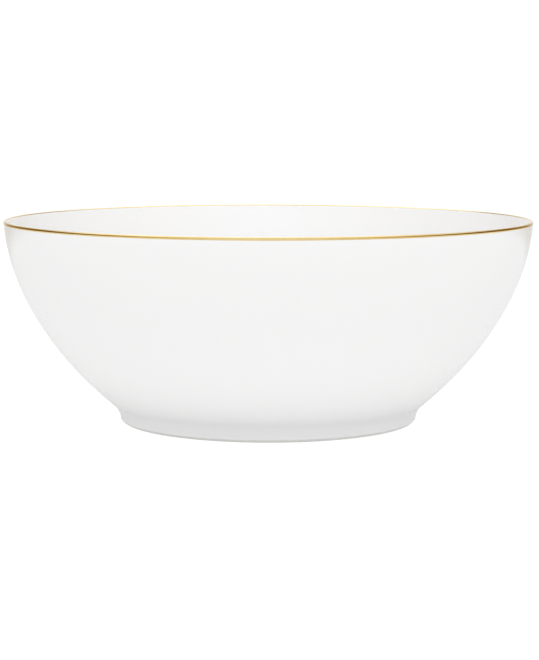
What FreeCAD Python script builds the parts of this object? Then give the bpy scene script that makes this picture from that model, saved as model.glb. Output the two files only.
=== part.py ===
import FreeCAD, Part
import math
import os

# ---------------------------------------------------------------------------
# Porcelain serving bowl with a gilded rim.  Millimetres, +Z up.
# Origin: centre of the circle on which the foot ring stands (z = 0 is the
# table), Z is the axis on which the bowl was thrown.
#
# Four separate pieces of matter, in the order in which they are made:
#   porcelain_body  the fired clay: bowl and foot ring are one lathe-turned body
#   glaze_coat      glass melted over the inside, the lip and the outside,
#                   wiped back from the foot so that it does not stick to the kiln shelf
#   base_glaze      the same glass on the underside, within the foot ring
#   rim_gilding     the line of gold painted over the lip and fired on last
# Every section below is given as (radius, height) and turned about Z.
# ---------------------------------------------------------------------------

# ---- driving dimensions ----------------------------------------------------
RIM_DIAMETER = 250.0        # over the gilding
HEIGHT = 96.0               # table to the top of the gilding

GLAZE_THICK = 0.30          # all over
GILD_PROUD = 0.05           # gold above the glaze
GILD_SINK = 0.15            # gold below the glaze surface, where it sank in firing
GILD_DOWN = 0.47            # the gold starts this far below the lip's rounding, outside,
GILD_IN_DEG = 148.0         # runs over the crest and stops just inside

LIP_THICK = 1.60            # over the glaze, fully rounded: the wall tapers to a fine edge
LIP_LEAN_DEG = 4.39         # the wall's outside leans out by this much at the lip,
LIP_LEAN_IN_DEG = 10.8      # and its inside by this much
LIP_STRIP = 0.55            # straight strip below the rounding, outside

# outside of the wall, over the glaze, from the lip down: (radius, height)
WALL_OUT = [
    (123.453, 84.0),
    (120.224, 72.0),
    (115.404, 60.0),
    (108.960, 48.0),
    (101.528, 37.0),
    (93.380, 27.0),
    (85.301, 18.5),
    (78.908, 12.5),
]
# inside, over the glaze, from the lip down to the middle of the well
WALL_IN = [
    (121.301, 86.0),
    (118.702, 76.0),
    (114.975, 66.0),
    (110.091, 56.0),
    (103.973, 46.0),
    (97.294, 37.0),
    (90.390, 29.0),
    (84.022, 22.5),
    (77.988, 17.5),
    (72.000, 14.094),
    (66.000, 11.877),
    (60.000, 10.517),
    (52.000, 9.616),
    (40.000, 9.303),
    (22.000, 9.296),
]
WELL_HEIGHT = 9.30          # glazed floor of the well, above the table

COVE_RADIUS = 10.70         # hollow between the wall and the foot, over the glaze
COVE_TOP_DEG = 49.70        # lean of the wall where the hollow begins
FOOT_TAPER_DEG = 7.0        # lean of the foot's outer side
FOOT_SIDE_R = 70.586        # outer radius of the foot over the glaze, where its side ends
FOOT_SIDE_Z = 1.6245        # and the height of that point

FOOT_IN_R = 65.0            # inner corner of the foot, at the table
FOOT_IN_ROUND = 1.10
FOOT_IN_TAPER_DEG = 12.0    # draft of the foot's inner side
BASE_CLAY_Z = 4.62          # clay underside beside the foot
BASE_FILLET = 2.50          # clay fillet between foot and underside
BASE_DOME_SLOPE = 0.0193    # the underside rises towards its middle

# each turned surface is divided into this many bands
WALL_BANDS = 12
WELL_BANDS = 18
LIP_BANDS = 6
COVE_BANDS = 3

GLAZE_END_OUT_Z = 1.14      # bare clay below this height, outside the foot
GLAZE_END_IN_Z = 1.20       # and inside it


# ---- small section kit: every point is (radius, height) ----------------------
def V(p):
    return FreeCAD.Vector(p[0], 0.0, p[1])


def add(p, q, k=1.0):
    return (p[0] + k * q[0], p[1] + k * q[1])


def line(p, q):
    return Part.LineSegment(V(p), V(q)).toShape()


def arc(p, m, q):
    return Part.Arc(V(p), V(m), V(q)).toShape()


def arc_about(c, radius, a0, a1, bands=1):
    """Arc about c from angle a0 to a1, in degrees from +radius towards +height.

    Gives its edges, one for each band, and its first and last points.
    """
    at = lambda a: add(c, (math.cos(math.radians(a)), math.sin(math.radians(a))), radius)
    cuts = [a0 + (a1 - a0) * i / bands for i in range(bands + 1)]
    edges = [arc(at(a), at(0.5 * (a + b)), at(b)) for a, b in zip(cuts, cuts[1:])]
    return edges, at(a0), at(a1)


def spline(points, t0, t1):
    """Smooth curve through points, leaving along t0 and arriving along t1."""
    c = Part.BSplineCurve()
    c.interpolate(
        Points=[V(p) for p in points], InitialTangent=V(t0), FinalTangent=V(t1)
    )
    return c


def banded(curve, bands):
    """A curve's edges, cut where neighbouring skins are cut too."""
    a, b = curve.FirstParameter, curve.LastParameter
    cuts = [a + (b - a) * i / bands for i in range(bands + 1)]
    return [curve.toShape(u, v) for u, v in zip(cuts, cuts[1:])]


def offset(curve, distance, count):
    """Points beside a curve, distance to the left of its run, evenly spread."""
    a, b = curve.FirstParameter, curve.LastParameter
    out = []
    for i in range(count):
        u = a + (b - a) * i / (count - 1)
        p = curve.value(u)
        t = curve.tangent(u)[0]
        n = math.hypot(t.x, t.z)
        out.append((p.x - distance * t.z / n, p.z + distance * t.x / n))
    return out


def turned(edges):
    """The solid that a closed section sweeps about Z."""
    wire = Part.Wire(Part.__sortEdges__(edges))
    face = Part.Face(wire)
    made = face.revolve(FreeCAD.Vector(0, 0, 0), FreeCAD.Vector(0, 0, 1), 360)
    solid = made if made.ShapeType == "Solid" else made.Solids[0]
    if solid.Volume < 0:
        solid.reverse()
    return solid


def corner(p, k, q, radius):
    """Round the corner k between k->p and k->q: first touch, middle, last touch."""
    lp, lq = math.dist(k, p), math.dist(k, q)
    up = ((p[0] - k[0]) / lp, (p[1] - k[1]) / lp)
    uq = ((q[0] - k[0]) / lq, (q[1] - k[1]) / lq)
    half = 0.5 * math.acos(up[0] * uq[0] + up[1] * uq[1])
    reach = radius / math.tan(half)
    bis = (up[0] + uq[0], up[1] + uq[1])
    nb = math.hypot(*bis)
    bis = (bis[0] / nb, bis[1] / nb)
    return (
        add(k, up, reach),
        add(k, bis, radius / math.sin(half) - radius),
        add(k, uq, reach),
        add(k, bis, radius / math.sin(half)),
    )


# ---- lip -----------------------------------------------------------------------
LIP_R = LIP_THICK / 2
lip_c = (RIM_DIAMETER / 2 - GILD_PROUD - LIP_R, HEIGHT - GILD_PROUD - LIP_R)
lean = math.radians(LIP_LEAN_DEG)
lean_in = math.radians(LIP_LEAN_IN_DEG)
down = (-math.sin(lean), -math.cos(lean))     # the wall's direction at the lip, outside
down_in = (-math.sin(lean_in), -math.cos(lean_in))
n_lip = (math.cos(lean), -math.sin(lean))     # out of the wall, beside the strip


def lip(radius, a0, a1, bands=LIP_BANDS):
    return arc_about(lip_c, radius, a0, a1, bands)


def strip(radius, depth):
    """A point on the strip below the lip's rounding, depth below it."""
    return add(add(lip_c, n_lip, radius), down, depth)


# ---- outer wall and the hollow above the foot ------------------------------------
taper = math.radians(FOOT_TAPER_DEG)
top = math.radians(COVE_TOP_DEG)
foot_side = (FOOT_SIDE_R, FOOT_SIDE_Z)
cove_c = add(foot_side, (math.cos(taper), -math.sin(taper)), COVE_RADIUS)


def cove(radius):
    """The hollow, from the wall down to the foot's side."""
    return arc_about(
        cove_c, radius, 180 - COVE_TOP_DEG, 180 - FOOT_TAPER_DEG, COVE_BANDS
    )


cove_top = cove(COVE_RADIUS)[1]
wall_top = strip(LIP_R, LIP_STRIP)
wall_out = spline(
    [wall_top] + WALL_OUT + [cove_top], down, (-math.sin(top), -math.cos(top))
)

# ---- inner wall and well ------------------------------------------------------------
in_top = add(lip_c, (-math.cos(lean_in), math.sin(lean_in)), LIP_R)
wall_in = spline([in_top] + WALL_IN + [(0.0, WELL_HEIGHT)], down_in, (-1.0, 0.0))

# ---- the same two curves a glaze thickness within the clay ---------------------------
clay_out_pts = offset(wall_out, -GLAZE_THICK, 28)
clay_in_pts = offset(wall_in, GLAZE_THICK, 36)
clay_lip = lip(LIP_R - GLAZE_THICK, -LIP_LEAN_DEG, 180 - LIP_LEAN_IN_DEG)
clay_strip = strip(LIP_R - GLAZE_THICK, LIP_STRIP)
clay_cove = cove(COVE_RADIUS + GLAZE_THICK)
clay_out_pts[0], clay_out_pts[-1] = clay_strip, clay_cove[1]
clay_in_pts[0], clay_in_pts[-1] = clay_lip[2], (0.0, WELL_HEIGHT - GLAZE_THICK)
clay_out = spline(clay_out_pts, down, (-math.sin(top), -math.cos(top)))
clay_in = spline(clay_in_pts, down_in, (-1.0, 0.0))

# ---- foot ring, in clay ----------------------------------------------------------------
side = clay_cove[2]                                        # lower end of the hollow
k_out = (side[0] - side[1] * math.tan(taper), 0.0)         # outer corner before rounding
k_in = (FOOT_IN_R, 0.0)
draft = math.radians(FOOT_IN_TAPER_DEG)
k_base = (FOOT_IN_R - BASE_CLAY_Z * math.tan(draft), BASE_CLAY_Z)
reach = math.dist(side, k_out)
round_out = reach * math.tan(0.5 * (math.pi / 2 + taper))  # so that it starts at the side
a1, am, a2, a_c = corner(side, k_out, k_in, round_out)
b1, bm, b2, b_c = corner(k_out, k_in, k_base, FOOT_IN_ROUND)
inward = (-1.0, BASE_DOME_SLOPE)
c1, cm, c2, c_c = corner(k_in, k_base, add(k_base, inward, 50.0), BASE_FILLET)
slope = math.atan(BASE_DOME_SLOPE)
dome_r = c2[0] / math.sin(slope)
dome_c = (0.0, c2[1] - dome_r * math.cos(slope))


def dome(radius):
    start = add(dome_c, (math.sin(slope), math.cos(slope)), radius)
    mid = add(dome_c, (math.sin(slope / 2), math.cos(slope / 2)), radius)
    end = (0.0, dome_c[1] + radius)
    return arc(start, mid, end), start, end


# where the glaze stops on the clay, on the two sides of the foot
g_out = (a_c[0] + math.sqrt(round_out**2 - (round_out - GLAZE_END_OUT_Z) ** 2), GLAZE_END_OUT_Z)
g_in = (FOOT_IN_R - GLAZE_END_IN_Z * math.tan(draft), GLAZE_END_IN_Z)


def on_round(z):
    """A point on the outer rounding of the foot at height z."""
    return (a_c[0] + math.sqrt(round_out**2 - (round_out - z) ** 2), z)


foot_glazed = arc(side, on_round(0.5 * (side[1] + GLAZE_END_OUT_Z)), g_out)
foot_bare = arc(g_out, on_round(0.35 * GLAZE_END_OUT_Z), a2)

# ---- porcelain body -----------------------------------------------------------------------
clay_dome = dome(dome_r)
base_in = [line(g_in, c1), arc(c1, cm, c2), clay_dome[0]]
outer_skin = (
    [foot_glazed]
    + clay_cove[0]
    + banded(clay_out, WALL_BANDS)
    + [line(clay_strip, clay_lip[1])]
    + clay_lip[0]
    + banded(clay_in, WELL_BANDS)
)
body = turned(
    outer_skin
    + [foot_bare, line(a2, b1), arc(b1, bm, b2), line(b2, g_in)]
    + base_in
    + [line(clay_dome[2], (0.0, WELL_HEIGHT - GLAZE_THICK))]
)

# ---- glaze over the inside, the lip and the outside ---------------------------------------------
# its surface is recessed under the gilding, and it ends above the foot in a rolled edge
g_edge = strip(LIP_R, GILD_DOWN)
g_sunk = strip(LIP_R - GILD_SINK, GILD_DOWN)
g_mid = lip(LIP_R - GILD_SINK, -LIP_LEAN_DEG, GILD_IN_DEG)
g_hi = lip(LIP_R, GILD_IN_DEG, 180 - LIP_LEAN_IN_DEG, 1)
roll_out = arc(foot_side, add(g_out, (0.30, 0.165)), g_out)
glaze = turned(
    outer_skin
    + [
        line((0.0, WELL_HEIGHT - GLAZE_THICK), (0.0, WELL_HEIGHT)),
        line(g_hi[1], g_mid[2]),
        line(g_mid[1], g_sunk),
        line(g_sunk, g_edge),
        line(g_edge, wall_top),
        roll_out,
    ]
    + banded(wall_in, WELL_BANDS)
    + g_hi[0]
    + g_mid[0]
    + banded(wall_out, WALL_BANDS)
    + cove(COVE_RADIUS)[0]
)

# ---- glaze on the underside -------------------------------------------------------------------------
n_side = (-math.cos(draft), -math.sin(draft))              # out of the clay, towards the axis
s_lo = add(add(g_in, n_side, GLAZE_THICK), (-math.sin(draft), math.cos(draft)), 0.42)
s_hi = add(c1, n_side, GLAZE_THICK)
f_mid = add(c_c, (cm[0] - c_c[0], cm[1] - c_c[1]), 1 - GLAZE_THICK / BASE_FILLET)
glass_dome = dome(dome_r - GLAZE_THICK)
underside = turned(
    base_in
    + [
        line(clay_dome[2], glass_dome[2]),
        glass_dome[0],
        arc(s_hi, f_mid, glass_dome[1]),
        line(s_lo, s_hi),
        arc(s_lo, add(g_in, (-0.28, 0.16)), g_in),
    ]
)

# ---- gilding ---------------------------------------------------------------------------------------------
top_gold = lip(LIP_R + GILD_PROUD, -LIP_LEAN_DEG, GILD_IN_DEG)
gold_edge = strip(LIP_R + GILD_PROUD, GILD_DOWN)
gilding = turned(
    g_mid[0]
    + top_gold[0]
    + [
        line(g_mid[1], g_sunk),
        line(g_sunk, gold_edge),
        line(gold_edge, top_gold[1]),
        line(g_mid[2], top_gold[2]),
    ]
)

# ---- one STEP file per piece ----------------------------------------------------------------------------------
os.makedirs("parts", exist_ok=True)
for name, shape in (
    ("porcelain_body", body),
    ("glaze_coat", glaze),
    ("base_glaze", underside),
    ("rim_gilding", gilding),
):
    if not shape.isValid() or shape.ShapeType != "Solid":
        raise RuntimeError(name + " is not one valid solid")
    shape.exportStep("parts/" + name + ".step")
    box = shape.optimalBoundingBox(False)
    print(
        "%-15s volume %10.1f mm3  x %8.3f..%8.3f  z %7.3f..%7.3f"
        % (name, shape.Volume, box.XMin, box.XMax, box.ZMin, box.ZMax)
    )
print("foot bearing ring: radius %.2f to %.2f" % (b1[0], a2[0]))
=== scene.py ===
import math

import bpy
import numpy as np
from mathutils import Matrix, Vector


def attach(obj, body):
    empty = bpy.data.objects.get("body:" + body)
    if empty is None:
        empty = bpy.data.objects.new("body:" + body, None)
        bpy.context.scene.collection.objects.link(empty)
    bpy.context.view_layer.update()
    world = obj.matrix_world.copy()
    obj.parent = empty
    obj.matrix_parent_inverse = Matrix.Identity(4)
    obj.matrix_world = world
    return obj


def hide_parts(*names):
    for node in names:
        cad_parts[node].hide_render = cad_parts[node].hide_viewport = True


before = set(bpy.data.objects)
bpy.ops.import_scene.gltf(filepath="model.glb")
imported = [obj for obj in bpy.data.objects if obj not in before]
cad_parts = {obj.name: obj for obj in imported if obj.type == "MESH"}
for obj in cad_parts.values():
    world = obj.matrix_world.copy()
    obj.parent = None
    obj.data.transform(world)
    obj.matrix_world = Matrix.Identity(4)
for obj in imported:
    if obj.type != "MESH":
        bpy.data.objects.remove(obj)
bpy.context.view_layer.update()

# ---------------------------------------------------------------------------
# Porcelain serving bowl with a gold line over its rim.
# The four pieces of the frame are remade here as finely divided, turned meshes
# on the same sections (millimetres below, turned into metres at the end), with
# the small things a fired and hand-finished piece has: a faint wave in the
# glaze, forming rings under it, a rolled glaze edge that wanders round the
# foot, and a gold line laid on with a brush.
# ---------------------------------------------------------------------------

AROUND = 432
PHI = np.arange(AROUND) * (2 * math.pi / AROUND)     # 0 = +X, 270 degrees = the front

# ---- the sections, as in the CAD ----------------------------------------------
RIM_D, HIGH = 250.0, 96.0
GLAZE_T, PROUD, SINK = 0.30, 0.05, 0.15
LIP_T, LEAN, LEAN_IN, STRIP = 1.60, math.radians(4.39), math.radians(10.8), 0.55
GOLD_DOWN, GOLD_IN = 0.47, math.radians(148.0)
WALL_OUT = [(123.453, 84.0), (120.224, 72.0), (115.404, 60.0), (108.960, 48.0),
            (101.528, 37.0), (93.380, 27.0), (85.301, 18.5), (78.908, 12.5)]
WALL_IN = [(121.301, 86.0), (118.702, 76.0), (114.975, 66.0), (110.091, 56.0),
           (103.973, 46.0), (97.294, 37.0), (90.390, 29.0), (84.022, 22.5),
           (77.988, 17.5), (72.000, 14.094), (66.000, 11.877), (60.000, 10.517),
           (52.000, 9.616), (40.000, 9.303), (22.000, 9.296)]
WELL_Z = 9.30
COVE_R, COVE_TOP, FOOT_TAPER = 10.70, math.radians(49.70), math.radians(7.0)
FOOT_SIDE = (70.586, 1.6245)
FOOT_IN_R, FOOT_IN_ROUND, DRAFT = 65.0, 1.10, math.radians(12.0)
BASE_Z, BASE_FILLET, DOME_SLOPE = 4.62, 2.50, 0.0193
END_OUT_Z, END_IN_Z = 1.14, 1.20

LIP_R = LIP_T / 2
LIP_C = np.array([RIM_D / 2 - PROUD - LIP_R, HIGH - PROUD - LIP_R])


def lip_at(radius, q):
    """A point by the lip, q mm along its glaze from where its rounding starts outside.

    Below 0 it lies on the straight strip under the rounding.
    """
    a = np.maximum(q, 0) / LIP_R - LEAN
    t = np.maximum(-q, 0)
    return np.stack([
        LIP_C[0] + radius * np.cos(a) - t * math.sin(LEAN),
        LIP_C[1] + radius * np.sin(a) - t * math.cos(LEAN),
    ], -1)


Q_IN = (math.pi - LEAN_IN + LEAN) * LIP_R        # where the rounding ends inside
Q_GOLD = (GOLD_IN + LEAN) * LIP_R


# ---- curves ----------------------------------------------------------------------
def arc(c, radius, a0, a1, n):
    a = np.radians(np.linspace(a0, a1, n))
    return np.stack([c[0] + radius * np.cos(a), c[1] + radius * np.sin(a)], 1)


class Spline:
    """Cubic curve through points, smooth in curvature, with both end directions given."""

    def __init__(self, points, t0, t1):
        p = np.array(points, float)
        u = np.concatenate([[0], np.cumsum(np.hypot(*np.diff(p, axis=0).T))])
        n, h = len(p), np.diff(u)
        A, B = np.zeros((n, n)), np.zeros((n, 2))
        A[0, 0] = A[-1, -1] = 1
        B[0], B[-1] = t0, t1
        for i in range(1, n - 1):
            A[i, i - 1], A[i, i], A[i, i + 1] = h[i], 2 * (h[i - 1] + h[i]), h[i - 1]
            B[i] = 3 * (h[i] * (p[i] - p[i - 1]) / h[i - 1] + h[i - 1] * (p[i + 1] - p[i]) / h[i])
        self.p, self.u, self.h, self.m = p, u, h, np.linalg.solve(A, B)

    def at(self, t):
        t = np.clip(t, 0, self.u[-1])
        i = np.clip(np.searchsorted(self.u, t) - 1, 0, len(self.h) - 1)
        h = self.h[i][:, None]
        x = ((t - self.u[i]) / self.h[i])[:, None]
        a, b, ma, mb = self.p[i], self.p[i + 1], self.m[i] * h, self.m[i + 1] * h
        point = (2 * x**3 - 3 * x**2 + 1) * a + (x**3 - 2 * x**2 + x) * ma + (3 * x**2 - 2 * x**3) * b + (x**3 - x**2) * mb
        slope = ((6 * x**2 - 6 * x) * a + (3 * x**2 - 4 * x + 1) * ma + (6 * x - 6 * x**2) * b + (3 * x**2 - 2 * x) * mb) / h
        return point, slope / np.linalg.norm(slope, axis=1, keepdims=True)

    def spread(self, n, ease=1.0):
        return self.at(self.u[-1] * np.linspace(0, 1, n) ** ease)


def waves(angles, seed, low, high, falling=0.7):
    """A smooth periodic wander about 0, about 1 at most."""
    r = np.random.default_rng(seed)
    k = np.arange(low, high + 1)
    a = k ** -falling * r.uniform(0.5, 1.0, len(k))
    y = (a[:, None] * np.cos(k[:, None] * angles[None, :] + r.uniform(0, 2 * math.pi, len(k))[:, None])).sum(0)
    return y / np.abs(y).max()


def bump_at(angles, where, width):
    d = np.angle(np.exp(1j * (angles - where)))
    return np.exp(-((d / width) ** 2))


down = (-math.sin(LEAN), -math.cos(LEAN))
cove_c = (FOOT_SIDE[0] + COVE_R * math.cos(FOOT_TAPER), FOOT_SIDE[1] - COVE_R * math.sin(FOOT_TAPER))
cove_a = (180 - math.degrees(COVE_TOP), 180 - math.degrees(FOOT_TAPER))
cove = arc(cove_c, COVE_R, *cove_a, 26)
down_in = (-math.sin(LEAN_IN), -math.cos(LEAN_IN))
wall_out = Spline([tuple(lip_at(LIP_R, -STRIP))] + WALL_OUT + [tuple(cove[0])], down, (-math.sin(COVE_TOP), -math.cos(COVE_TOP)))
wall_in = Spline([tuple(lip_at(LIP_R, Q_IN))] + WALL_IN + [(0.0, WELL_Z)], down_in, (-1.0, 0.0))

out_p, out_t = wall_out.spread(76)                       # from the lip down
in_p, in_t = wall_in.spread(118)                         # from the lip to the middle
out_n = np.stack([-out_t[:, 1], out_t[:, 0]], 1)         # away from the clay
in_n = np.stack([in_t[:, 1], -in_t[:, 0]], 1)

clay_out = out_p - GLAZE_T * out_n
clay_in = in_p - GLAZE_T * in_n
clay_in[-1, 0] = 0.0
clay_lip = lip_at(LIP_R - GLAZE_T, np.concatenate([np.linspace(Q_IN, 0, 19), np.linspace(0, -STRIP, 4)[1:]]))
clay_cove = arc(cove_c, COVE_R + GLAZE_T, *cove_a, 26)

# foot ring, in clay
side = clay_cove[-1]
k_out = np.array([side[0] - side[1] * math.tan(FOOT_TAPER), 0.0])
round_out = math.hypot(*(side - k_out)) * math.tan(0.5 * (math.pi / 2 + FOOT_TAPER))
ro_c = np.array([side[0] - round_out * math.cos(FOOT_TAPER), round_out])


def corner(p, k, q, radius):
    p, k, q = (np.array(x, float) for x in (p, k, q))
    up, uq = (p - k) / np.linalg.norm(p - k), (q - k) / np.linalg.norm(q - k)
    half = 0.5 * math.acos(float(up @ uq))
    bis = (up + uq) / np.linalg.norm(up + uq)
    return k + up * radius / math.tan(half), k + uq * radius / math.tan(half), k + bis * radius / math.sin(half)


def arc_between(c, p, q, n):
    a0, a1 = math.atan2(p[1] - c[1], p[0] - c[0]), math.atan2(q[1] - c[1], q[0] - c[0])
    a1 = a0 + math.remainder(a1 - a0, 2 * math.pi)
    a = np.linspace(a0, a1, n)
    r = math.hypot(p[0] - c[0], p[1] - c[1])
    return np.stack([c[0] + r * np.cos(a), c[1] + r * np.sin(a)], 1)


k_in = (FOOT_IN_R, 0.0)
k_base = (FOOT_IN_R - BASE_Z * math.tan(DRAFT), BASE_Z)
b1, b2, b_c = corner((FOOT_IN_R + 4, 0.0), k_in, k_base, FOOT_IN_ROUND)
c1, c2, c_c = corner(k_in, k_base, (k_base[0] - 50.0, k_base[1] + 50.0 * DOME_SLOPE), BASE_FILLET)
slope = math.atan(DOME_SLOPE)
dome_r = c2[0] / math.sin(slope)
dome_z = c2[1] - dome_r * math.cos(slope)


def dome(radius, n):
    a = slope * np.linspace(1, 0, n)
    out = np.stack([radius * np.sin(a), dome_z + radius * np.cos(a)], 1)
    out[-1, 0] = 0.0
    return out


# ---- how the hand and the kiln changed the exact sections --------------------------
wob = [waves(PHI, s, 3, 17, 0.9) for s in (11, 12, 13, 14, 15)]
band_lo = -GOLD_DOWN + 0.030 * waves(PHI, 21, 2, 46, 0.55) - 0.035 * bump_at(PHI, 1.93, 0.035)
band_hi = Q_GOLD + 0.055 * waves(PHI, 22, 2, 40, 0.5) + 0.10 * bump_at(PHI, 1.95, 0.045)
edge_out = 0.17 * waves(PHI, 31, 2, 60, 0.6)            # mm along the foot, the glaze line outside
edge_in = 0.22 * waves(PHI, 32, 2, 50, 0.5)


def rows(points):
    """The same section all round."""
    p = np.asarray(points, float)
    return np.repeat(p[:, None, :], AROUND, axis=1)


def waved(points, normals, phase, amount):
    """A section pushed in and out along its normals by a slow wave, in mm."""
    p = rows(points)
    s = np.linspace(0, 1, len(points)) * phase
    ease = np.minimum(1, np.minimum(np.arange(len(points)), np.arange(len(points))[::-1]) / 6.0)
    h = np.zeros((len(points), AROUND))
    for i, w in enumerate(wob):
        h += np.cos(2 * math.pi * (s * (0.6 + 0.45 * i) + 0.21 * i))[:, None] * w[None, :] / len(wob)
    return p + (h * amount * ease[:, None])[:, :, None] * np.asarray(normals)[:, None, :]


def lip_rows(radius, q0, q1, n):
    """Rows by the lip, between edges that may wander round the rim."""
    q0, q1 = np.broadcast_to(q0, (AROUND,)), np.broadcast_to(q1, (AROUND,))
    u = np.linspace(0, 1, n)[:, None]
    r = radius if np.ndim(radius) != 1 else np.asarray(radius)[:, None]
    return lip_at(r, q0[None, :] * (1 - u) + q1[None, :] * u)


def clay_round(z):
    """A point on the outer rounding of the clay foot, by height."""
    return np.stack([ro_c[0] + np.sqrt(np.maximum(round_out**2 - (round_out - z) ** 2, 0)), z + 0 * z], -1)


# inside surface, from the middle out, with the faint spiral that forming leaves in the well
inner = waved(in_p, in_n, 5.0, 0.010)
rr = inner[:, :, 0]
spiral = 0.0022 * np.cos(2 * math.pi * rr / 3.4 + PHI[None, :]) * np.clip((78 - rr) / 30, 0, 1) * np.clip(rr / 8, 0, 1)
inner += spiral[:, :, None] * in_n[:, None, :]
inner[-1, :, 0] = 0.0
outer = waved(out_p, out_n, 4.0, 0.011)

# the glaze's rolled edge outside the foot: it ends along a wandering line on the clay
z_end = END_OUT_Z + edge_out * 0.55
end_out = clay_round(z_end)
P1 = np.array(FOOT_SIDE)
u = np.linspace(0, 1, 9)[1:]
swell = 0.05 * (0.5 + 0.5 * waves(PHI, 33, 3, 30, 0.5))
roll = []
for x in u:
    a = x * math.pi / 2
    q = np.stack([
        end_out[:, 0] + (P1[0] - end_out[:, 0]) * math.cos(a) + swell * math.sin(2 * a),
        P1[1] + (end_out[:, 1] - P1[1]) * math.sin(a),
    ], 1)
    roll.append(q)
roll = np.array(roll)
cove_rows = rows(cove)
cn = np.stack([-np.cos(np.radians(np.linspace(*cove_a, 26))), -np.sin(np.radians(np.linspace(*cove_a, 26)))], 1)
fat = 0.035 * np.clip(np.linspace(-0.6, 1, 26), 0, 1) ** 2   # the glaze gathers towards its edge
cove_rows = cove_rows + (fat[:, None] * (0.6 + 0.4 * waves(PHI, 34, 2, 24, 0.5))[None, :])[:, :, None] * cn[:, None, :]
roll[:, :, 0] += (0.035 * (0.6 + 0.4 * waves(PHI, 34, 2, 24, 0.5)))[None, :] * np.cos(u * math.pi / 2)[:, None]

skin_lip = np.concatenate([
    lip_rows(LIP_R, Q_IN, band_hi, 5)[1:],
    lip_rows(LIP_R - SINK, band_hi, band_lo, 33),
    lip_rows(LIP_R, band_lo, -STRIP, 3)[:-1],
])
glaze_seen = np.concatenate([inner[::-1], skin_lip, outer, cove_rows[1:], roll])
# the face against the clay, back up from the foot
zz = np.linspace(0, 1, 5)[:, None]
clay_glazed = clay_round(z_end[None, :] * (1 - zz) + side[1] * zz)[1:]
glaze_back = np.concatenate([
    clay_glazed, rows(clay_cove[::-1])[1:], rows(clay_out[::-1])[1:], rows(clay_lip[::-1])[1:-1], rows(clay_in),
])
glaze_section = np.concatenate([glaze_seen, glaze_back])

# how thick the glaze lies, for its tint: 0 thin over the lip, 1 pooled
pool = np.concatenate([
    np.interp(in_p[::-1, 0], [0, 30, 62, 74, 86, 110, 121.5, 123], [0.35, 0.38, 0.75, 0.85, 0.5, 0.3, 0.12, 0.0]),
    np.zeros(len(skin_lip)),
    np.interp(out_p[::1, 1], [8.4, 12, 20, 60, 88, 95], [0.75, 0.5, 0.34, 0.28, 0.12, 0.0]),
    np.interp(cove[1:, 1], [1.6, 3.0, 6.0, 8.5], [0.7, 1.0, 0.95, 0.75]),
    np.full(len(roll), 0.75),
    np.full(len(glaze_back), 0.3),
])

# clay: well, lip, wall, foot, underside
bare = []
for x in np.linspace(0, 1, 17)[1:]:
    bare.append(clay_round(z_end * (1 - x) ** 2 + 0.0 * x))
bare = np.array(bare)
foot_flat = np.stack([np.linspace(ro_c[0], b1[0], 9)[1:], np.zeros(8)], 1)
inner_round = arc_between(b_c, b1, b2, 11)[1:]
g_in_z = END_IN_Z + 0.5 * edge_in
g_in = np.stack([FOOT_IN_R - g_in_z * math.tan(DRAFT), g_in_z], 1)
x = np.linspace(0, 1, 4)[1:, None, None]
side_bare = (1 - x) * b2[None, None, :] + x * g_in[None, :, :]
x = np.linspace(0, 1, 5)[1:, None, None]
side_glazed = (1 - x) * g_in[None, :, :] + x * c1[None, None, :]
fillet = arc_between(c_c, c1, c2, 15)[1:]
under_in = np.concatenate([side_glazed, rows(fillet), rows(dome(dome_r, 44)[1:])])
clay_section = np.concatenate([
    rows(clay_in[::-1]), rows(clay_lip)[1:-1], rows(clay_out), rows(clay_cove)[1:],
    clay_glazed[::-1][1:], end_out[None], bare, rows(foot_flat), rows(inner_round), side_bare, under_in,
])

# glaze under the base
n_side = np.array([-math.cos(DRAFT), -math.sin(DRAFT)])
up_side = np.array([-math.sin(DRAFT), math.cos(DRAFT)])
s_hi = c1 + n_side * GLAZE_T
s_lo = g_in + (n_side * GLAZE_T + up_side * 0.40)[None, :]
x = np.linspace(1, 0, 6)[1:, None, None]
side_seen = (1 - x) * s_lo[None, :, :] + x * s_hi[None, None, :]
roll_in = []
for x in np.linspace(0, 1, 8)[1:]:
    a = x * math.pi / 2
    roll_in.append(g_in + np.outer(np.full(AROUND, 1.0), n_side * GLAZE_T) * math.cos(a) + up_side[None, :] * 0.40 * (1 - math.sin(a)))
roll_in = np.array(roll_in)
f_seen = c_c + (fillet - c_c) * (1 - GLAZE_T / BASE_FILLET)
dome_seen = dome(dome_r - GLAZE_T, 44)
dn = np.tile([[0.0, -1.0]], (44, 1))
dome_rows = waved(dome_seen, dn, 3.0, 0.012)
rr = dome_rows[:, :, 0]
dome_rows[:, :, 1] -= 0.006 * np.cos(2 * math.pi * rr / 4.1 + PHI[None, :]) * np.clip((60 - rr) / 12, 0, 1) * np.clip(rr / 6, 0, 1)
dome_rows[-1, :, 0] = 0.0
under_seen = np.concatenate([
    dome_rows[::-1][:-1],
    rows(np.concatenate([f_seen[::-1], s_hi[None]])),
    side_seen, roll_in,
])
under_section = np.concatenate([under_seen, under_in])
pool_under = np.concatenate([
    np.interp(dome_seen[::-1][:-1, 0], [0, 50, 62], [0.3, 0.4, 0.8]), np.full(len(f_seen) + 1, 1.0),
    np.full(len(side_seen), 0.8), np.full(len(roll_in), 0.7), np.full(len(under_in), 0.3),
])

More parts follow.
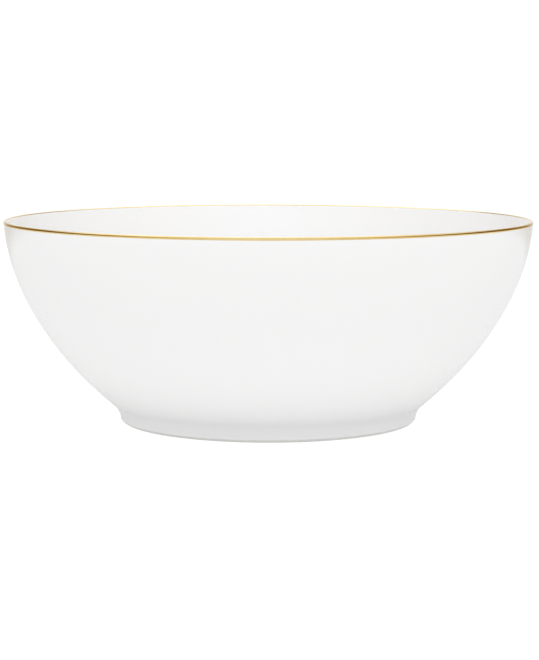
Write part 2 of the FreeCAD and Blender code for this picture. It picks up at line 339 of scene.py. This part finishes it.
# gold line: feathered at both edges, lying in the glaze, a little uneven under the brush
n_gold = 37
x = np.linspace(-1, 1, n_gold)[:, None]
brush = 0.5 + 0.5 * waves(PHI, 41, 5, 70, 0.3)[None, :]
ridge = 0.5 + 0.5 * np.cos(5.2 * x + 1.1 * waves(PHI, 42, 2, 9, 0.4)[None, :])
top_r = LIP_R + (PROUD - 0.003) * (1 - np.abs(x) ** 8) * (1 - 0.10 * brush - 0.07 * ridge)
gold_top = lip_rows(top_r, band_lo, band_hi, n_gold)
gold_section = np.concatenate([gold_top, lip_rows(LIP_R - SINK, band_hi, band_lo, 33)])


# ---- meshes ---------------------------------------------------------------------------
def settle(p):
    """Fired ware is never quite true: the rim is a hair oval and dips by a tenth of a millimetre."""
    r, z = p[..., 0], p[..., 1]
    t = np.clip(z / HIGH, 0, 1) ** 2
    phi = PHI[None, :]
    r = r * (1 - t * (0.00045 * (1 - np.cos(2 * (phi - 0.6))) + 0.0001 * (1 - np.cos(3 * (phi - 2.0)))))
    z = z - t * (0.045 * (1 - np.cos(2 * (phi - 1.9))) + 0.02 * (1 - np.cos(3 * (phi + 0.4))))
    return r, z


def turned(name, section, closed, values=None):
    """A closed mesh from a section that runs from the axis to the axis, or round in a loop."""
    r, z = settle(section)
    n = len(section)
    xyz = np.stack([r * np.cos(PHI)[None, :], r * np.sin(PHI)[None, :], z], 2) / 1000.0
    if closed:
        verts = xyz.reshape(-1, 3)
        ring = [np.arange(AROUND) + i * AROUND for i in range(n)] + [np.arange(AROUND)]
        caps = []
        per_vert = None if values is None else np.repeat(values, AROUND)
    else:
        verts = np.concatenate([xyz[0, :1], xyz[1:-1].reshape(-1, 3), xyz[-1, :1]])
        ring = [1 + np.arange(AROUND) + i * AROUND for i in range(n - 2)]
        last = len(verts) - 1
        a, b = ring[0], ring[-1]
        caps = [(0, a[(j + 1) % AROUND], a[j]) for j in range(AROUND)]
        caps += [(last, b[j], b[(j + 1) % AROUND]) for j in range(AROUND)]
        per_vert = None if values is None else np.concatenate([values[:1], np.repeat(values[1:-1], AROUND), values[-1:]])
    quads = []
    for a, b in zip(ring, ring[1:]):
        quads.append(np.stack([a, np.roll(a, -1), np.roll(b, -1), b], 1))
    quads = np.concatenate(quads)
    me = bpy.data.meshes.new(name)
    n_loop = quads.size + 3 * len(caps)
    me.vertices.add(len(verts))
    me.vertices.foreach_set("co", verts.astype(np.float32).ravel())
    me.loops.add(n_loop)
    me.loops.foreach_set("vertex_index", np.concatenate([quads.ravel(), np.array(caps, int).ravel()]).astype(np.int32))
    me.polygons.add(len(quads) + len(caps))
    starts = np.concatenate([np.arange(len(quads)) * 4, quads.size + np.arange(len(caps)) * 3])
    me.polygons.foreach_set("loop_start", starts.astype(np.int32))
    me.update(calc_edges=True)
    me.validate()
    # faces look outwards
    me.calc_loop_triangles()
    t = np.empty(len(me.loop_triangles) * 3, np.int32)
    me.loop_triangles.foreach_get("vertices", t)
    t = t.reshape(-1, 3)
    v = verts[t]
    if np.einsum("ij,ij->i", v[:, 0], np.cross(v[:, 1], v[:, 2])).sum() < 0:
        me.flip_normals()
    me.shade_smooth()
    me.set_sharp_from_angle(angle=math.radians(38))
    if per_vert is not None:
        a = me.attributes.new("glaze_depth", "FLOAT", "POINT")
        a.data.foreach_set("value", per_vert.astype(np.float32))
    ob = bpy.data.objects.new(name, me)
    bpy.context.collection.objects.link(ob)
    return ob


glaze = turned("glazed_bowl_surface", glaze_section, False, pool)
clay = turned("porcelain_clay_body", clay_section, False)
under = turned("glazed_underside", under_section, False, pool_under)
gold = turned("gold_rim_line", gold_section, True)


# ---- materials ------------------------------------------------------------------------
def material(name):
    m = bpy.data.materials.new(name)
    m.use_nodes = True
    nt = m.node_tree
    p = nt.nodes["Principled BSDF"]
    return m, nt, p


def node(nt, kind, **values):
    n = nt.nodes.new(kind)
    for k, v in values.items():
        setattr(n, k, v)
    return n


def noise(nt, where, scale, detail=4.0, rough=0.5, stretch=None):
    src = where
    if stretch is not None:
        m = node(nt, "ShaderNodeMapping")
        m.inputs["Scale"].default_value = stretch
        nt.links.new(where, m.inputs["Vector"])
        src = m.outputs["Vector"]
    n = node(nt, "ShaderNodeTexNoise")
    n.inputs["Scale"].default_value = scale
    n.inputs["Detail"].default_value = detail
    n.inputs["Roughness"].default_value = rough
    nt.links.new(src, n.inputs["Vector"])
    return n.outputs["Fac"]


def remap(nt, value, a, b, c, d, smooth=False):
    n = node(nt, "ShaderNodeMapRange")
    n.interpolation_type = "SMOOTHSTEP" if smooth else "LINEAR"
    for k, v in zip(("From Min", "From Max", "To Min", "To Max"), (a, b, c, d)):
        n.inputs[k].default_value = v
    nt.links.new(value, n.inputs["Value"])
    return n.outputs["Result"]


def mix(nt, fac, a, b):
    n = node(nt, "ShaderNodeMix", data_type="RGBA")
    for key, v in (("A", a), ("B", b)):
        socket = next(s for s in n.inputs if s.name == key and s.type == "RGBA")
        if isinstance(v, tuple):
            socket.default_value = (*v, 1)
        else:
            nt.links.new(v, socket)
    f = next(s for s in n.inputs if s.name == "Factor" and s.type == "VALUE")
    if isinstance(fac, float):
        f.default_value = fac
    else:
        nt.links.new(fac, f)
    return next(s for s in n.outputs if s.type == "RGBA")


def maths(nt, op, a, b=None):
    n = node(nt, "ShaderNodeMath", operation=op)
    for i, v in enumerate((a, b)):
        if v is None:
            continue
        if isinstance(v, (int, float)):
            n.inputs[i].default_value = v
        else:
            nt.links.new(v, n.inputs[i])
    return n.outputs[0]


def bump(nt, height, distance, strength=1.0, after=None):
    n = node(nt, "ShaderNodeBump")
    n.inputs["Strength"].default_value = strength
    n.inputs["Distance"].default_value = distance
    nt.links.new(height, n.inputs["Height"])
    if after is not None:
        nt.links.new(after, n.inputs["Normal"])
    return n.outputs["Normal"]


def glazed(name, tone=1.0):
    m, nt, p = material(name)
    where = node(nt, "ShaderNodeTexCoord").outputs["Object"]
    depth = node(nt, "ShaderNodeAttribute", attribute_name="glaze_depth").outputs["Fac"]
    cloud = noise(nt, where, 26.0, 3.0, 0.5)
    fine = noise(nt, where, 420.0, 2.0, 0.5)
    # clear glaze over white clay: greener and greyer where it lies deep
    deep = remap(nt, maths(nt, "ADD", depth, maths(nt, "MULTIPLY", maths(nt, "SUBTRACT", cloud, 0.5), 0.35)), 0.0, 1.1, 0.0, 1.0)
    col = mix(nt, deep, (0.893 * tone, 0.892 * tone, 0.888 * tone), (0.862 * tone, 0.867 * tone, 0.866 * tone))
    mottle = remap(nt, cloud, 0.3, 0.7, 0.0, 0.30)
    col = mix(nt, mottle, col, (0.902 * tone, 0.901 * tone, 0.899 * tone))
    # a few very faint specks in the clay, seen through the glaze
    v = node(nt, "ShaderNodeTexVoronoi")
    v.inputs["Scale"].default_value = 95.0
    nt.links.new(where, v.inputs["Vector"])
    speck = remap(nt, v.outputs["Distance"], 0.018, 0.034, 0.16, 0.0)
    rare = remap(nt, noise(nt, where, 31.0, 1.0), 0.56, 0.60, 0.0, 1.0)
    col = mix(nt, maths(nt, "MULTIPLY", speck, rare), col, (0.52, 0.47, 0.40))
    nt.links.new(col, p.inputs["Base Color"])
    r = remap(nt, noise(nt, where, 60.0, 4.0, 0.6), 0.25, 0.75, 0.045, 0.105)
    nt.links.new(r, p.inputs["Roughness"])
    n1 = bump(nt, fine, 0.0000045)
    n2 = bump(nt, noise(nt, where, 110.0, 2.0, 0.4), 0.000022, 1.0, n1)
    nt.links.new(n2, p.inputs["Normal"])
    p.inputs["IOR"].default_value = 1.5
    return m


def bare_clay():
    m, nt, p = material("unglazed_porcelain")
    where = node(nt, "ShaderNodeTexCoord").outputs["Object"]
    xyz = node(nt, "ShaderNodeSeparateXYZ")
    nt.links.new(where, xyz.inputs[0])
    grain = noise(nt, where, 2600.0, 5.0, 0.65)
    cloud = noise(nt, where, 70.0, 4.0, 0.6)
    col = mix(nt, remap(nt, cloud, 0.3, 0.7, 0.0, 1.0), (0.872, 0.858, 0.830), (0.832, 0.816, 0.786))
    # the bearing face and the lowest part of the outer rounding are darker grey, in patches
    low = remap(nt, xyz.outputs["Z"], 0.00002, 0.00028, 1.0, 0.0, True)
    grey_bottom = maths(nt, "MULTIPLY", low, remap(nt, noise(nt, where, 160.0, 5.0, 0.7), 0.35, 0.62, 0.25, 0.85))
    col = mix(nt, grey_bottom, col, (0.545, 0.528, 0.502))
    v = node(nt, "ShaderNodeTexVoronoi")
    v.inputs["Scale"].default_value = 520.0
    nt.links.new(where, v.inputs["Vector"])
    speck = remap(nt, v.outputs["Distance"], 0.10, 0.17, 0.55, 0.0)
    rare = remap(nt, noise(nt, where, 210.0, 2.0), 0.55, 0.62, 0.0, 1.0)
    col = mix(nt, maths(nt, "MULTIPLY", speck, rare), col, (0.30, 0.25, 0.20))
    nt.links.new(col, p.inputs["Base Color"])
    r = remap(nt, grain, 0.3, 0.7, 0.72, 0.92)
    nt.links.new(maths(nt, "SUBTRACT", r, maths(nt, "MULTIPLY", grey_bottom, 0.22)), p.inputs["Roughness"])
    nt.links.new(bump(nt, grain, 0.00003), p.inputs["Normal"])
    p.inputs["IOR"].default_value = 1.5
    return m


def fired_gold():
    m, nt, p = material("fired_gold")
    where = node(nt, "ShaderNodeTexCoord").outputs["Object"]
    xyz = node(nt, "ShaderNodeSeparateXYZ")
    nt.links.new(where, xyz.inputs[0])
    ang = maths(nt, "ARCTAN2", xyz.outputs["Y"], xyz.outputs["X"])
    rad = node(nt, "ShaderNodeVectorMath", operation="LENGTH")
    flat = node(nt, "ShaderNodeCombineXYZ")
    nt.links.new(xyz.outputs["X"], flat.inputs[0])
    nt.links.new(xyz.outputs["Y"], flat.inputs[1])
    nt.links.new(flat.outputs[0], rad.inputs[0])
    # long streaks along the brush stroke: slow along the rim, fast across it
    along = node(nt, "ShaderNodeCombineXYZ")
    nt.links.new(maths(nt, "MULTIPLY", ang, 2.2), along.inputs[0])
    nt.links.new(maths(nt, "MULTIPLY", rad.outputs["Value"], 3800.0), along.inputs[1])
    nt.links.new(maths(nt, "MULTIPLY", xyz.outputs["Z"], 3800.0), along.inputs[2])
    streak = noise(nt, along.outputs[0], 1.0, 4.0, 0.6)
    blotch = noise(nt, where, 130.0, 4.0, 0.6)
    col = mix(nt, remap(nt, streak, 0.3, 0.7, 0.0, 1.0), (0.900, 0.665, 0.285), (0.950, 0.755, 0.375))
    col = mix(nt, remap(nt, blotch, 0.42, 0.75, 0.0, 0.55), col, (0.845, 0.585, 0.220))
    nt.links.new(col, p.inputs["Base Color"])
    r = maths(nt, "ADD", remap(nt, streak, 0.25, 0.75, 0.06, 0.13), remap(nt, blotch, 0.4, 0.8, 0.0, 0.08))
    nt.links.new(r, p.inputs["Roughness"])
    nt.links.new(bump(nt, streak, 0.000012), p.inputs["Normal"])
    p.inputs["Metallic"].default_value = 1.0
    return m


glaze_mat = glazed("porcelain_glaze")
for ob, mat in ((glaze, glaze_mat), (under, glazed("porcelain_glaze_base", 0.99)), (clay, bare_clay()), (gold, fired_gold())):
    ob.data.materials.append(mat)

for ob, cad, slot in (
    (glaze, "glaze_coat", "white_glaze"),
    (under, "base_glaze", "white_glaze"),
    (clay, "porcelain_body", "bisque_porcelain"),
    (gold, "rim_gilding", "fired_gold"),
):
    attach(ob, "root")
    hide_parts(cad)


# ---- stage: floor, light, camera ----------------------------------------------------------
def stage_plane(name, corners, mat):
    me = bpy.data.meshes.new(name)
    me.from_pydata(corners, [], [(0, 1, 2, 3)])
    me.materials.append(mat)
    ob = bpy.data.objects.new(name, me)
    bpy.context.collection.objects.link(ob)
    return ob


def steps(nt, value, top, stops, scale):
    """Levels joined by straight lines: `value` runs to `top`, the levels to `scale`."""
    n = node(nt, "ShaderNodeValToRGB")
    r = n.color_ramp
    r.interpolation = "LINEAR"
    while len(r.elements) < len(stops):
        r.elements.new(0.5)
    for e, (at, level) in zip(r.elements, stops):
        e.position, e.color = at / top, (*((level / scale,) * 3), 1)
    nt.links.new(value if top == 1 else maths(nt, "MULTIPLY", value, 1 / top), n.inputs["Fac"])
    return n.outputs["Color"] if scale == 1 else maths(nt, "MULTIPLY", n.outputs["Color"], scale)


FLOOR_TONE = 0.38
# painted light: how strongly the floor glows, though it is no lamp
GLOW_SEEN, GLOW_SHINE = 0.78, 0.42                                          # to the camera, to gloss and metal
GLOW = ((0.071, 0.34), (0.075, 0.15), (0.082, 0.47), (0.10, 0.59), (0.12, 0.67), (0.18, 0.54), (0.30, 0.34))     # by distance
SKY_FRONT = ((0, 0.888), (20, 1.524), (45, 1.461), (90, 1.002))             # by height above the floor, degrees
SKY_BACK = ((0, 0.743), (20, 1.196), (45, 0.525), (90, 0.212))
BOX_AT, BOX_SIZE, BOX_RADIANCE = (-0.12, 0.85, 1.25), (1.1, 0.8), 1.15
floor_mat, nt, p = material("floor_paper_painted_glow")
where = node(nt, "ShaderNodeTexCoord").outputs["Object"]
nt.links.new(mix(nt, noise(nt, where, 3.0, 2.0), (FLOOR_TONE,) * 3, (FLOOR_TONE - 0.006,) * 3), p.inputs["Base Color"])
p.inputs["Roughness"].default_value = 0.9
p.inputs["Specular IOR Level"].default_value = 0.1
p.inputs["Emission Color"].default_value = (1, 1, 1, 1)
# painted light: the floor glows with its own emission, by distance from the bowl, and less near the bowl as a painted
# shadow; this glow lights the bowl's foot and lower wall. To the camera it glows evenly at GLOW_SEEN, so no shadow
# shows, and to gloss and metal it glows at GLOW_SHINE
reach = node(nt, "ShaderNodeVectorMath", operation="LENGTH")
nt.links.new(where, reach.inputs[0])
glow = steps(nt, reach.outputs["Value"], 1.0, GLOW, 1.0)
path = node(nt, "ShaderNodeLightPath")
for kind, level in (("Is Glossy Ray", GLOW_SHINE), ("Is Camera Ray", GLOW_SEEN)):
    away = maths(nt, "MULTIPLY", maths(nt, "SUBTRACT", level, glow), path.outputs[kind])
    glow = maths(nt, "ADD", glow, away)
nt.links.new(glow, p.inputs["Emission Strength"])
# the paper ends in a soft edge, and the room goes on from there
soft, gone = node(nt, "ShaderNodeMixShader"), node(nt, "ShaderNodeBsdfTransparent")
nt.links.new(remap(nt, reach.outputs["Value"], 0.40, 0.66, 0.0, 1.0, True), soft.inputs[0])
nt.links.new(p.outputs[0], soft.inputs[1])
nt.links.new(gone.outputs[0], soft.inputs[2])
nt.links.new(soft.outputs[0], nt.nodes["Material Output"].inputs["Surface"])
S = 0.70
floor = stage_plane("floor", [(-S, -S, -0.00005), (S, -S, -0.00005), (S, S, -0.00005), (-S, S, -0.00005)], floor_mat)

world = bpy.data.worlds.new("studio")
bpy.context.scene.world = world
world.use_nodes = True
nt = world.node_tree
nt.nodes.clear()
out = node(nt, "ShaderNodeOutputWorld")
lit, shine, seen = (node(nt, "ShaderNodeBackground") for _ in range(3))
way = node(nt, "ShaderNodeSeparateXYZ")
nt.links.new(node(nt, "ShaderNodeTexCoord").outputs["Generated"], way.inputs[0])
up = maths(nt, "MULTIPLY", maths(nt, "ARCSINE", way.outputs["Z"]), 180 / math.pi)
round_ = maths(nt, "MULTIPLY", maths(nt, "ARCTAN2", maths(nt, "ABSOLUTE", way.outputs["X"]), maths(nt, "MULTIPLY", way.outputs["Y"], -1)), 1 / math.pi)


def ramp(stops):
    """Colour by direction round the room: 0 is before the bowl, 180 behind it."""
    n = node(nt, "ShaderNodeValToRGB")
    r = n.color_ramp
    r.interpolation = "LINEAR"
    for i, (deg, col) in enumerate(stops):
        e = r.elements[i] if i < 2 else r.elements.new(deg / 180)
        e.position, e.color = deg / 180, (*col, 1)
    nt.links.new(round_, n.inputs["Fac"])
    return n.outputs["Color"]


# what gloss and metal see: a bright room with a dark, warm flag to each side
side = ramp([
    (0, (0.86, 0.90, 1.04)), (180, (0.86, 0.86, 0.87)), (25, (0.80, 0.79, 0.78)), (50, (0.55, 0.43, 0.24)),
    (80, (0.20, 0.11, 0.032)), (105, (0.14, 0.07, 0.014)), (135, (0.25, 0.15, 0.035)), (150, (0.40, 0.32, 0.18)), (170, (0.86, 0.86, 0.87)),
])
high = mix(nt, remap(nt, up, 24.0, 44.0, 0.0, 1.0, True), side, (0.90, 0.91, 0.94))
below = mix(nt, remap(nt, up, -9.5, -5.0, 0.0, 1.0, True), (0.86, 0.86, 0.86), high)
nt.links.new(below, shine.inputs["Color"])
front, back = steps(nt, up, 90.0, SKY_FRONT, 2.0), steps(nt, up, 90.0, SKY_BACK, 2.0)
lit.inputs["Color"].default_value = (1, 1, 1, 1)
behind = remap(nt, way.outputs["Y"], -1.0, 1.0, 0.0, 1.0)
even = maths(nt, "ADD", front, maths(nt, "MULTIPLY", maths(nt, "SUBTRACT", back, front), behind))
nt.links.new(maths(nt, "MULTIPLY", even, remap(nt, way.outputs["X"], -1.0, 1.0, 0.99, 1.035)), lit.inputs["Strength"])
seen.inputs["Color"].default_value = (1.0, 1.0, 1.0, 1)
seen.inputs["Strength"].default_value = 1.05
path = node(nt, "ShaderNodeLightPath")
last = lit.outputs[0]
for kind, room in (("Is Glossy Ray", shine), ("Is Camera Ray", seen)):
    pick = node(nt, "ShaderNodeMixShader")
    nt.links.new(path.outputs[kind], pick.inputs[0])
    nt.links.new(last, pick.inputs[1])
    nt.links.new(room.outputs[0], pick.inputs[2])
    last = pick.outputs[0]
nt.links.new(last, out.inputs["Surface"])
world.cycles.sampling_method = "NONE"


def softbox(name, at, aim, size, radiance):
    d = bpy.data.lights.new(name, "AREA")
    d.shape, d.size, d.size_y = "RECTANGLE", size[0], size[1]
    d.energy = radiance * math.pi * size[0] * size[1]     # W for that radiance over the whole face
    d.use_shadow = True
    ob = bpy.data.objects.new(name, d)
    ob.location = at
    ob.rotation_euler = (Vector(aim) - Vector(at)).to_track_quat("-Z", "Y").to_euler()
    ob.visible_camera = False
    bpy.context.collection.objects.link(ob)
    return ob


softbox("overhead_softbox", BOX_AT, (0, 0, 0.05), BOX_SIZE, BOX_RADIANCE)

scene = bpy.context.scene
scene.view_settings.view_transform = "Standard"
scene.view_settings.look = "None"
scene.view_settings.exposure = 0.0
scene.view_settings.gamma = 1.0

cam = bpy.data.cameras.new("camera")
cam.sensor_width = 36.0
cam.lens = 2061.8 * 36.0 / 660.0
cam.clip_start, cam.clip_end = 0.05, 60.0
cam_ob = bpy.data.objects.new("camera", cam)
bpy.context.collection.objects.link(cam_ob)
turn = Matrix.Rotation(math.pi / 2 - 0.11559, 4, "X") @ Matrix.Rotation(0.0011, 4, "Z")
cam_ob.matrix_world = Matrix.Translation((0.00059, -0.97938, 0.15650)) @ turn
scene.camera = cam_ob

bpy.context.view_layer.update()
